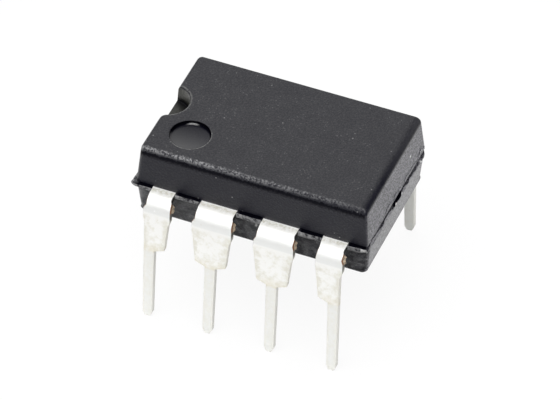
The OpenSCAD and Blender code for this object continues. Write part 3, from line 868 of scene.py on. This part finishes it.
def lead_rings(corner, splay, tip_shift, burr_pair, waist_pair, widening):
    """A lead's skin: its sheet section carried along the flat, round the bend and down the
    plate. A point lies between the two edge lines across the sheet and half the sheet's
    thickness off its middle line, with all edges and both ends rounded by a small radius.
    Where the dam bar was cut the whole side bulges, and over the bend, where it tore, the inner
    face stands out past the outer one by the burr. Burrs and waists come as the outer edge's
    and the inner edge's. Gives the values for the finish at each point too."""
    bend_l = mid_r * (math.pi / 2 - splay)
    outer, inner = lead_sides(corner, bend_l, plate_length(splay), tip_shift, waist_pair, widening)
    stops = np.unique(np.concatenate([outer[:, 0], inner[:, 0], [0, bend_l]]))
    along = np.unique(np.concatenate([
        np.linspace(a, b, max(2, int((b - a) / (0.045 * MM)) + 1))
        for a, b in zip(stops, stops[1:])]))
    along = along[np.concatenate([[True], np.diff(along) > 1e-9])]
    ends = np.array([0, 0.3, 1.0]) * sheet_edge_r
    shrink = sheet_edge_r * (1 - np.sqrt(1 - (1 - ends / sheet_edge_r) ** 2))
    along = np.concatenate([along[0] + ends, along[1:-1], along[-1] - ends[::-1]])
    pull = np.concatenate([shrink, np.zeros(len(along) - 6), shrink[::-1]])
    angle = np.clip(along / mid_r, 0, math.pi / 2 - splay)
    past = np.maximum(along - bend_l, 0)
    face_y, face_z = -np.sin(angle), np.cos(angle)
    y = -bend_start - np.minimum(along, 0) - mid_r * np.sin(angle) - past * math.sin(splay)
    z = bend_z + mid_r * np.cos(angle) - past * math.cos(splay)
    across, face, turn_x, turn_t = sheet_section().T
    low = (np.interp(along, outer[:, 0], outer[:, 1]) + sheet_edge_r + pull)[:, None]
    high = (np.interp(along, inner[:, 0], inner[:, 1]) - sheet_edge_r - pull)[:, None]
    x = (low + high) / 2 + (high - low) / 2 * across + turn_x * sheet_edge_r
    torn = np.clip(np.minimum(along - torn_start, torn_end - along) / (0.04 * MM), 0, 1)
    tear = np.sin(along / tear_waves[0]) * np.sin(along / tear_waves[1])
    torn = (torn * (0.85 + 0.15 * tear))[:, None]
    bulge = np.minimum(along - bulge_start, (bulge_end - along) / 2.5) / (0.1 * MM)
    bulge = np.clip(bulge, 0, 1)[:, None]
    outer_burr, inner_burr = burr_pair
    push = (1 - face) / 2 * torn + bulge * (shear_bulge / burr)
    x = x + push * (inner_burr * (1 + across) - outer_burr * (1 - across)) / 2
    t = face * (sheet_t / 2 - sheet_edge_r - pull[:, None]) + turn_t * sheet_edge_r
    rings = np.stack([x - (1.5 if corner else 0.5) * pitch, y[:, None] + t * face_y[:, None],
                      z[:, None] + t * face_z[:, None]], -1)
    tip = (along > along[-1] - 1e-6)[:, None]
    return rings, {"along": along[:, None] / MM, "across": across, "side": turn_x,
                   "through": 2 * t / sheet_t, "bare": np.maximum(torn * np.abs(turn_x), tip)}


def tin_finish():
    """Matte tin over copper alloy: pale and cloudy, duller round the lower bend by painted shade,
    mottled on the shoulder, stained yellow at the neck, greyer on the leg, filmed with resin at
    the body, darkened by painted shade on its narrow sides and inner face, and bare copper where
    the dam bar tore off over the bend and on the cut tips."""
    finish = Finish("tin_plating", Metallic=0.35, IOR=1.5)
    along, bare = finish.attribute("along"), finish.attribute("bare")
    side = finish.attribute("side").size().step(0.45, 0.8)
    edge = finish.attribute("across").size().step(0.5, 1)
    through = finish.attribute("through")
    bend_end = 0.64
    neck = bend_end + (shoulder_l + step_l) / MM
    cloud = finish.noise(0.32, 4, 0.6)
    fine = finish.noise(0.06, 3, 0.6, shift=1)
    streak = finish.noise(0.14, 3, 0.6, shift=2, stretch=(1, 1, 0.3))
    scale = finish.noise(0.1, 3, 0.6, shift=4)
    smudge = finish.noise(0.13, 4, 0.65, shift=5)
    base = finish.blend(cloud * 0.6 + fine * 0.4, (0.93, 0.925, 0.89), (0.99, 0.99, 0.975))

    # Painted shade as a duller band round the lower bend, with bright spots, and the greyer leg
    # with rust spots.
    bend_shade_band = along.hill(bend_end * 0.45, bend_end * 0.55, bend_end + 0.02, bend_end + 0.1)
    base = finish.blend(bend_shade_band * 0.6, base, (0.80, 0.81, 0.80))
    base = finish.blend(finish.flecks(0.3, 0.05, shift=3) * bend_shade_band, base, (1, 1, 1))
    leg = along.step(neck - 0.05, neck + 0.08)
    base = finish.blend(leg * 0.75, base, (0.81, 0.815, 0.79))
    rust = finish.flecks(0.33, 0.05, shift=6) * finish.noise(0.8, 2, 0.5, shift=7).step(0.45, 0.6)
    base = finish.blend(rust * fine.step(0.35, 0.6) * 0.6, base, (0.62, 0.55, 0.42))

    # Mottle below the bend, stain at the neck and film of resin beside the body.
    mottle = finish.noise(0.22, 3, 0.6, shift=9) + edge * 0.2 + along.step(neck - 0.9, neck) * 0.06
    mottle = mottle.step(0.46, 0.74) * along.step(bend_end + 0.1, bend_end + 0.3)
    base = finish.blend(mottle * (0.9 - leg * 0.45), base, (0.80, 0.785, 0.705))
    stain = along.hill(neck - 0.45, neck, neck + 0.02, neck + 0.12)
    base = finish.blend(stain * cloud.step(0.3, 0.6) * 0.5, base, (0.72, 0.66, 0.48))
    film = along.hill(-0.28, -0.24, -0.12, 0.05) * smudge.step(0.4, 0.62)
    base = finish.blend(film * 0.7, base, (0.62, 0.60, 0.49))

    # Painted shade on the narrow sides beside the body and over the bend and on the inner face, and
    # copper.
    shade = side * along.hill(0.16, 0.22, 0.75, 1.05)
    inner = 1 - through.step(-0.9, -0.7)
    middle = bare * (1 - (through + 0.3).size().step(0.45, 0.8))
    # Painted shade: the narrow sides near the body black.
    base = finish.blend(side * (1 - along.step(0.16, 0.22)), base, (0.02, 0.018, 0.016))
    # Painted shade: the inner face darker.
    base = finish.blend(inner * 0.35, base, (0.6, 0.61, 0.58))
    base = finish.blend(shade * (0.6 + smudge * 0.6), base, (0.05, 0.045, 0.025))
    base = finish.blend(bare * through.step(0.1, 0.6), base, (0.28, 0.10, 0.02))
    base = finish.blend(middle * scale.step(0.34, 0.5), base, (0.82, 0.66, 0.48))
    relief = finish.bump(cloud, 0.03, 0.5, finish.bump(fine, 0.006, 0.5))
    relief = finish.bump(streak, 0.01, 0.4, relief)
    return finish.feed(Base_Color=base, Roughness=0.46 + cloud * 0.15, Normal=relief)


tin = tin_finish()
for number in range(1, 9):
    place = (number - 1) % 4
    back_row = number > 4
    mirrored = place > 1
    splay = back_splay if back_row else front_splay
    shift = back_tip_set if back_row else tip_set[place] * (-1 if mirrored else 1)
    burrs = [burr, burr / 5] if mirrored else [burr / 5, burr]
    waist_pair = waists[place][::-1] if mirrored else waists[place]
    rings, values = lead_rings(place in (0, 3), splay, shift, burrs, waist_pair,
                               flat_widening[place])
    if mirrored:
        rings[..., 0] *= -1
    if back_row:
        rings[..., :2] *= -1
    lead = closed_skin("lead_%d_tinned" % number, rings)
    keep_values(lead, rings.shape[:2], values)
    shaped(lead)
    lead.data.materials.clear()
    lead.data.materials.append(tin)
    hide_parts("lead_%d" % number)
    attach(lead, "root")


# Die pad with its tie bars: copper alloy stamped with the leads, left bare and pressed down
# below them. Only the tie bars' cut ends show, dark in the flash at both ends of the body.
def copper_finish():
    """Rolled copper alloy, stained brown in patches, and painted black as shade on the cut ends
    of the tie bars but for one painted glint."""
    finish = Finish("frame_copper", Metallic=0.9)
    x, y, z = finish.axes()
    stain = finish.noise(0.3, 4, 0.6)
    end = x.size().step(4.6, 4.7)
    # Painted glint on one cut end, and painted shade over the rest of the cut ends.
    painted_glint = 1 - far_from(y, z, (-0.18, parting_z / MM - 0.2)).step(0.04, 0.08)
    clean = finish.blend(stain, (0.42, 0.22, 0.12), (0.62, 0.36, 0.22))
    base = finish.blend(painted_glint * end, clean, (0.98, 0.98, 0.98))
    relief = finish.bump(finish.noise(0.06, 3, 0.6, shift=1), 0.01, 0.5)
    finish.feed(Base_Color=base, Roughness=0.35 + stain * 0.25, Normal=relief)
    return finish.with_painted_shade(end * (1 - painted_glint))


def dress(node, material):
    """Gives a carried-over node its finish in every material slot."""
    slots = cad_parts[node].data.materials
    slots.clear()
    slots.append(material)


dress("die_pad", copper_finish())


# Die and its glue: a chip sawn from a polished silicon wafer, with its circuits' faint grid on
# top, stuck to the pad with epoxy glue that is filled with silver.
def glue_finish():
    """Silver-filled glue: pale grey paste with bright flakes."""
    finish = Finish("silver_glue")
    flake = finish.noise(0.02, 4, 0.7)
    base = finish.blend(flake.step(0.35, 0.65), (0.35, 0.35, 0.33), (0.75, 0.75, 0.72))
    return finish.feed(Base_Color=base, Metallic=flake.step(0.5, 0.7), Roughness=0.7 - flake * 0.3,
                       Normal=finish.bump(flake, 0.01, 0.6))


def silicon_finish():
    """Polished silicon under thin oxide: dark blue grey, with a plain grid of circuit blocks."""
    finish = Finish("silicon", IOR=1.5)
    blocks = finish.node("TexBrick", {"offset": 0.3, "squash": 0.7}, {
        "Vector": finish.place(), "Scale": 2, "Mortar Size": 0.012}, output="Fac")
    base = finish.blend(blocks, (0.05, 0.06, 0.09), (0.24, 0.22, 0.2))
    return finish.feed(Base_Color=base, Roughness=0.18 + blocks * 0.2, Metallic=blocks * 0.6)


dress("die_attach", glue_finish())
dress("die", silicon_finish())


# Bond wires: drawn gold wire from the die to each lead's finger, welded on with a ball bond
# at the die and a stitch bond at the finger.
def gold_finish():
    """Drawn gold wire: bright, faintly streaked."""
    finish = Finish("gold_wire", Metallic=1.0)
    streak = finish.noise(0.03, 3, 0.6)
    base = finish.blend(streak, (0.80, 0.56, 0.20), (0.95, 0.73, 0.34))
    return finish.feed(Base_Color=base, Roughness=0.22 + streak * 0.15)


gold = gold_finish()
for number in range(1, 9):
    dress("bond_wire_%d" % number, gold)


# Studio: a white floor under a soft sky, brightest overhead, pale behind and in front, and dim
# towards the horizon. The floor shows white to the camera, and keeps a faint shadow.
def studio_floor():
    """One large square on the ground, pale near the object and dim far off. Seen by the camera
    it is nearly white by its own light, and in gloss half so, which keeps the shadow in both."""
    reach = 400 * MM
    mesh = bpy.data.meshes.new("floor")
    corners = ((-1, -1), (1, -1), (1, 1), (-1, 1))
    mesh.from_pydata([(a * reach, b * reach, 0) for a, b in corners], [], [(0, 1, 2, 3)])
    floor = bpy.data.objects.new("floor", mesh)
    bpy.context.scene.collection.objects.link(floor)
    finish = Finish("white_floor", Roughness=0.9)
    x, y, z = finish.axes()
    far = far_from(x, y, (0, 0)).step(17, 30)
    finish.feed(Base_Color=finish.blend(far, (0.9, 0.9, 0.9), (0.2, 0.2, 0.2)))
    paper = Field(finish.tree, finish.last.outputs[0])
    glow = finish.node("Emission", inputs={"Strength": 1.0})
    share = finish.rays("Camera", "Transmission") * 0.9 + finish.rays("Glossy") * 0.47 * (1 - far)
    finish.last = finish.tree.nodes["Material Output"]
    mesh.materials.append(finish.feed(Surface=finish.node(
        "MixShader", inputs={0: share, 1: paper, 2: glow})))


def studio_sky():
    """Soft light by direction: a level for all of the sky above the horizon's dimness, more of
    it behind, a wide soft light in front, and the brightest one overhead. To the camera the sky
    is white, and a share of that white is in gloss too."""
    sky = Wiring(bpy.data.worlds.new("sky"), "Background")
    sky.last.inputs["Color"].default_value = (1, 1, 1, 1)
    towards = sky.node("TexCoord", output="Generated").socket
    split = sky.node("SeparateXYZ", inputs={"Vector": Field(sky.tree, towards)}).socket.node
    x, y, z = [Field(sky.tree, split.outputs[k]) for k in range(3)]
    raised = z.step(0.25, 0.55)
    behind = y.step(0.15, 0.45) * (0 - x).step(-0.2, 0.15) * z.step(0.08, 0.3)
    front = (0 - y).step(0.1, 0.4) * z.step(0.5, 0.62)
    overhead = z.step(0.82, 0.9)
    level = 0.03 + raised * 0.15 + behind * 1.02 + front * 2.9 + overhead * 1.6
    white = sky.rays("Camera", "Transmission") + sky.rays("Glossy") * 0.1
    bpy.context.scene.world = sky.feed(Strength=level * (1 - white) + white)


studio_floor()
studio_sky()
bpy.context.scene.view_settings.view_transform = "Standard"
